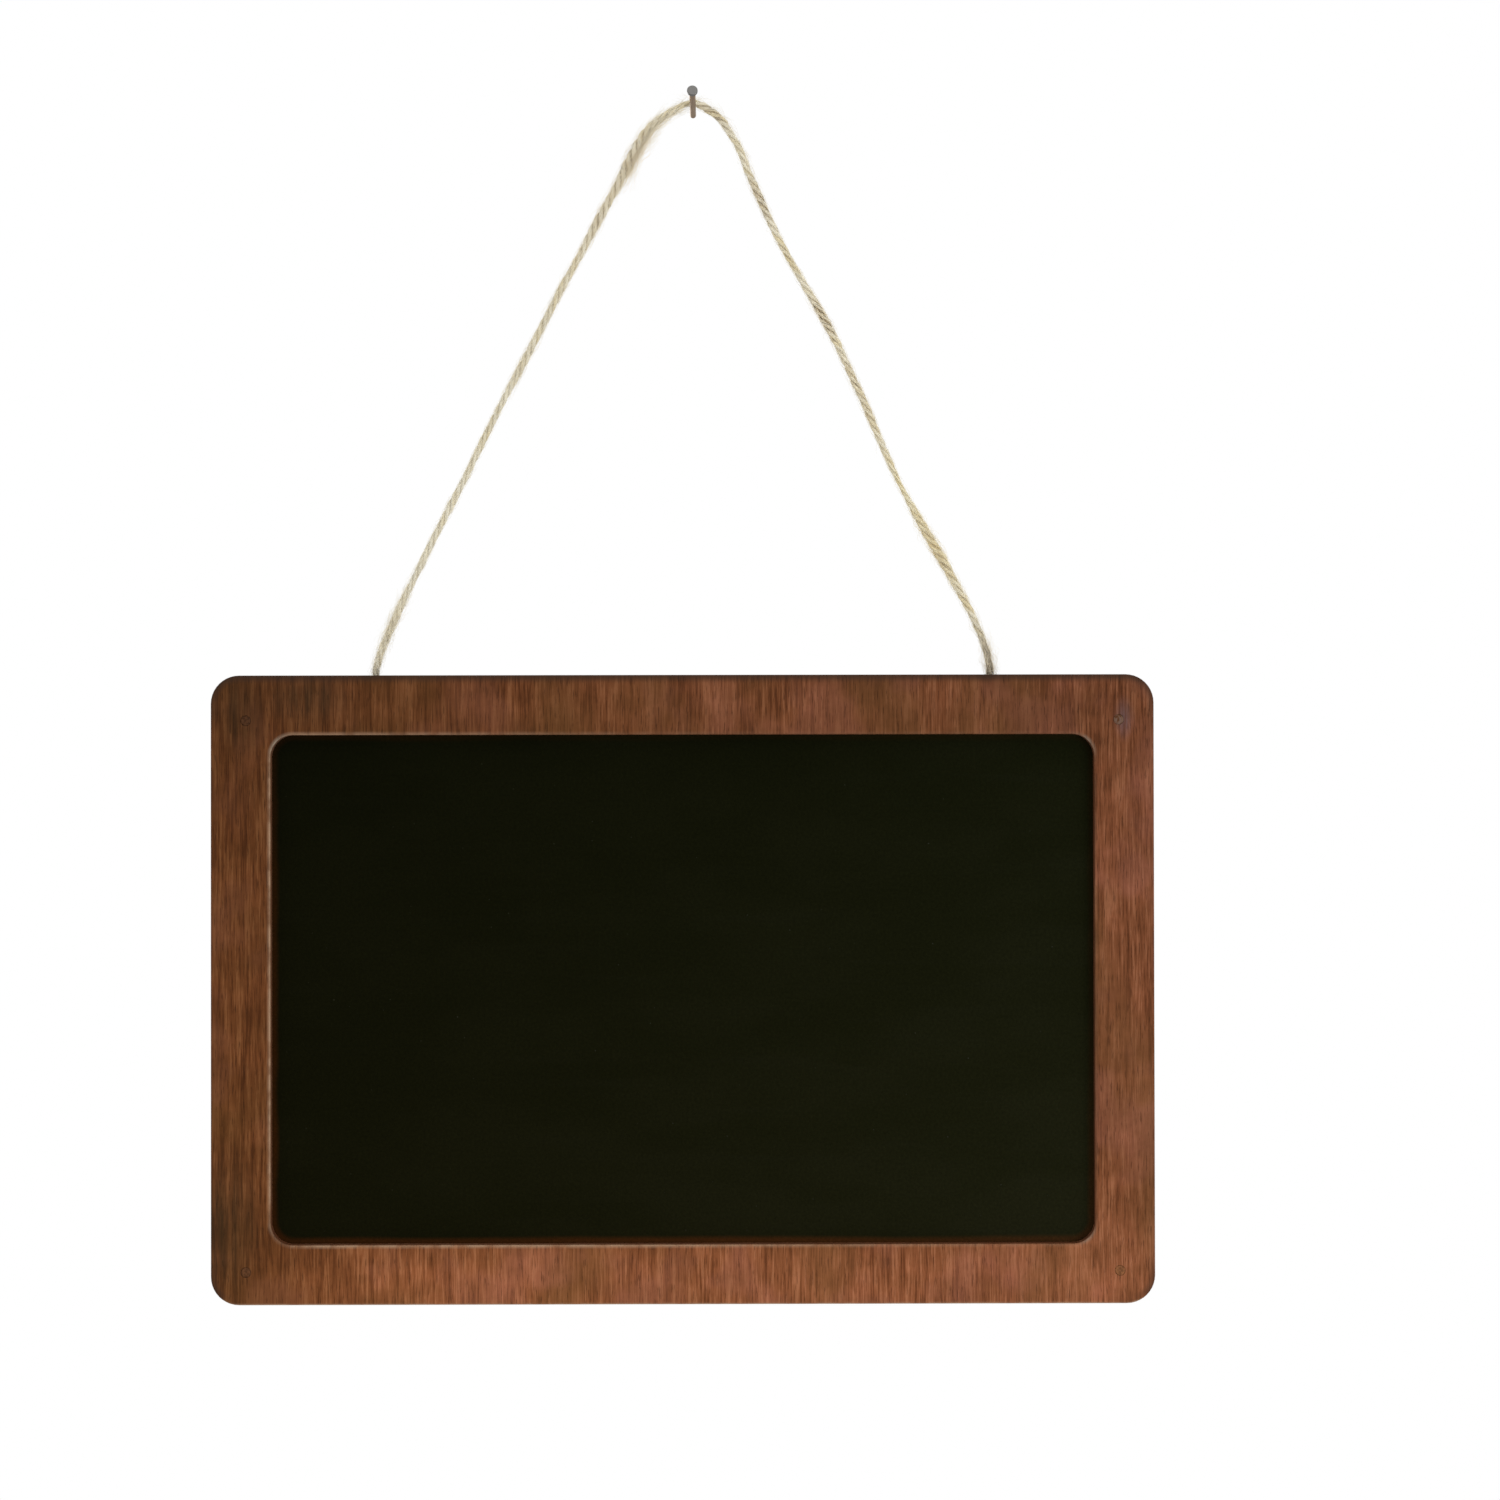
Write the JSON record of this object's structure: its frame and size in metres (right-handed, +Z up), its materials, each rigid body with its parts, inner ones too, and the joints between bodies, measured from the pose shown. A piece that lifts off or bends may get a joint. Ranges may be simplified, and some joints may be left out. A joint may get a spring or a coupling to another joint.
{
  "type": "wall chalkboard",
  "caption": "Wall chalkboard: a stained wooden window frame round a black writing panel, hung by a loop of twine from a slanted wall nail.",
  "frame": {"origin": "where the nail's axis enters the wall; the wall's face is the plane y = 0", "axes": "+Z up, +Y into the wall, -Y towards the reader, +X to the reader's right"},
  "size_m": [0.3, 0.0352, 0.387],
  "materials": {
    "stained_wood": "reddish-brown stain, matt, vertical grain",
    "stained_wood_rear": "reddish-brown stain, matt",
    "chalkboard_paint": "matt black chalkboard paint on hardboard",
    "jute": "natural three-strand twine",
    "nail_steel": "dull bare steel",
    "pin_steel": "dull dark steel"
  },
  "bodies": {
    "nail": {"wall_nail": "nail_steel"},
    "sling": {"twine_loop": "jute"},
    "board": {"front_frame": "stained_wood", "rear_frame": "stained_wood_rear", "chalk_panel": "chalkboard_paint", "twine_tail_left": "jute", "twine_tail_right": "jute", "twine_knot_left": "jute", "twine_knot_right": "jute", "corner_pin_top_left": "pin_steel", "corner_pin_top_right": "pin_steel", "corner_pin_bottom_left": "pin_steel", "corner_pin_bottom_right": "pin_steel"}
  },
  "joints": [
    {"name": "board_swing", "type": "hinge", "parent": "nail", "child": "sling", "pos_m": [0, -0.0018, 0.00048], "axis": [0, 1, 0], "range_deg": [-30, 30]},
    {"name": "board_tilt", "type": "hinge", "parent": "sling", "child": "board", "pos_m": [-0.0035, -0.004, -0.1798], "axis": [-1, 0, 0], "range_deg": [0, 60]}
  ]
}
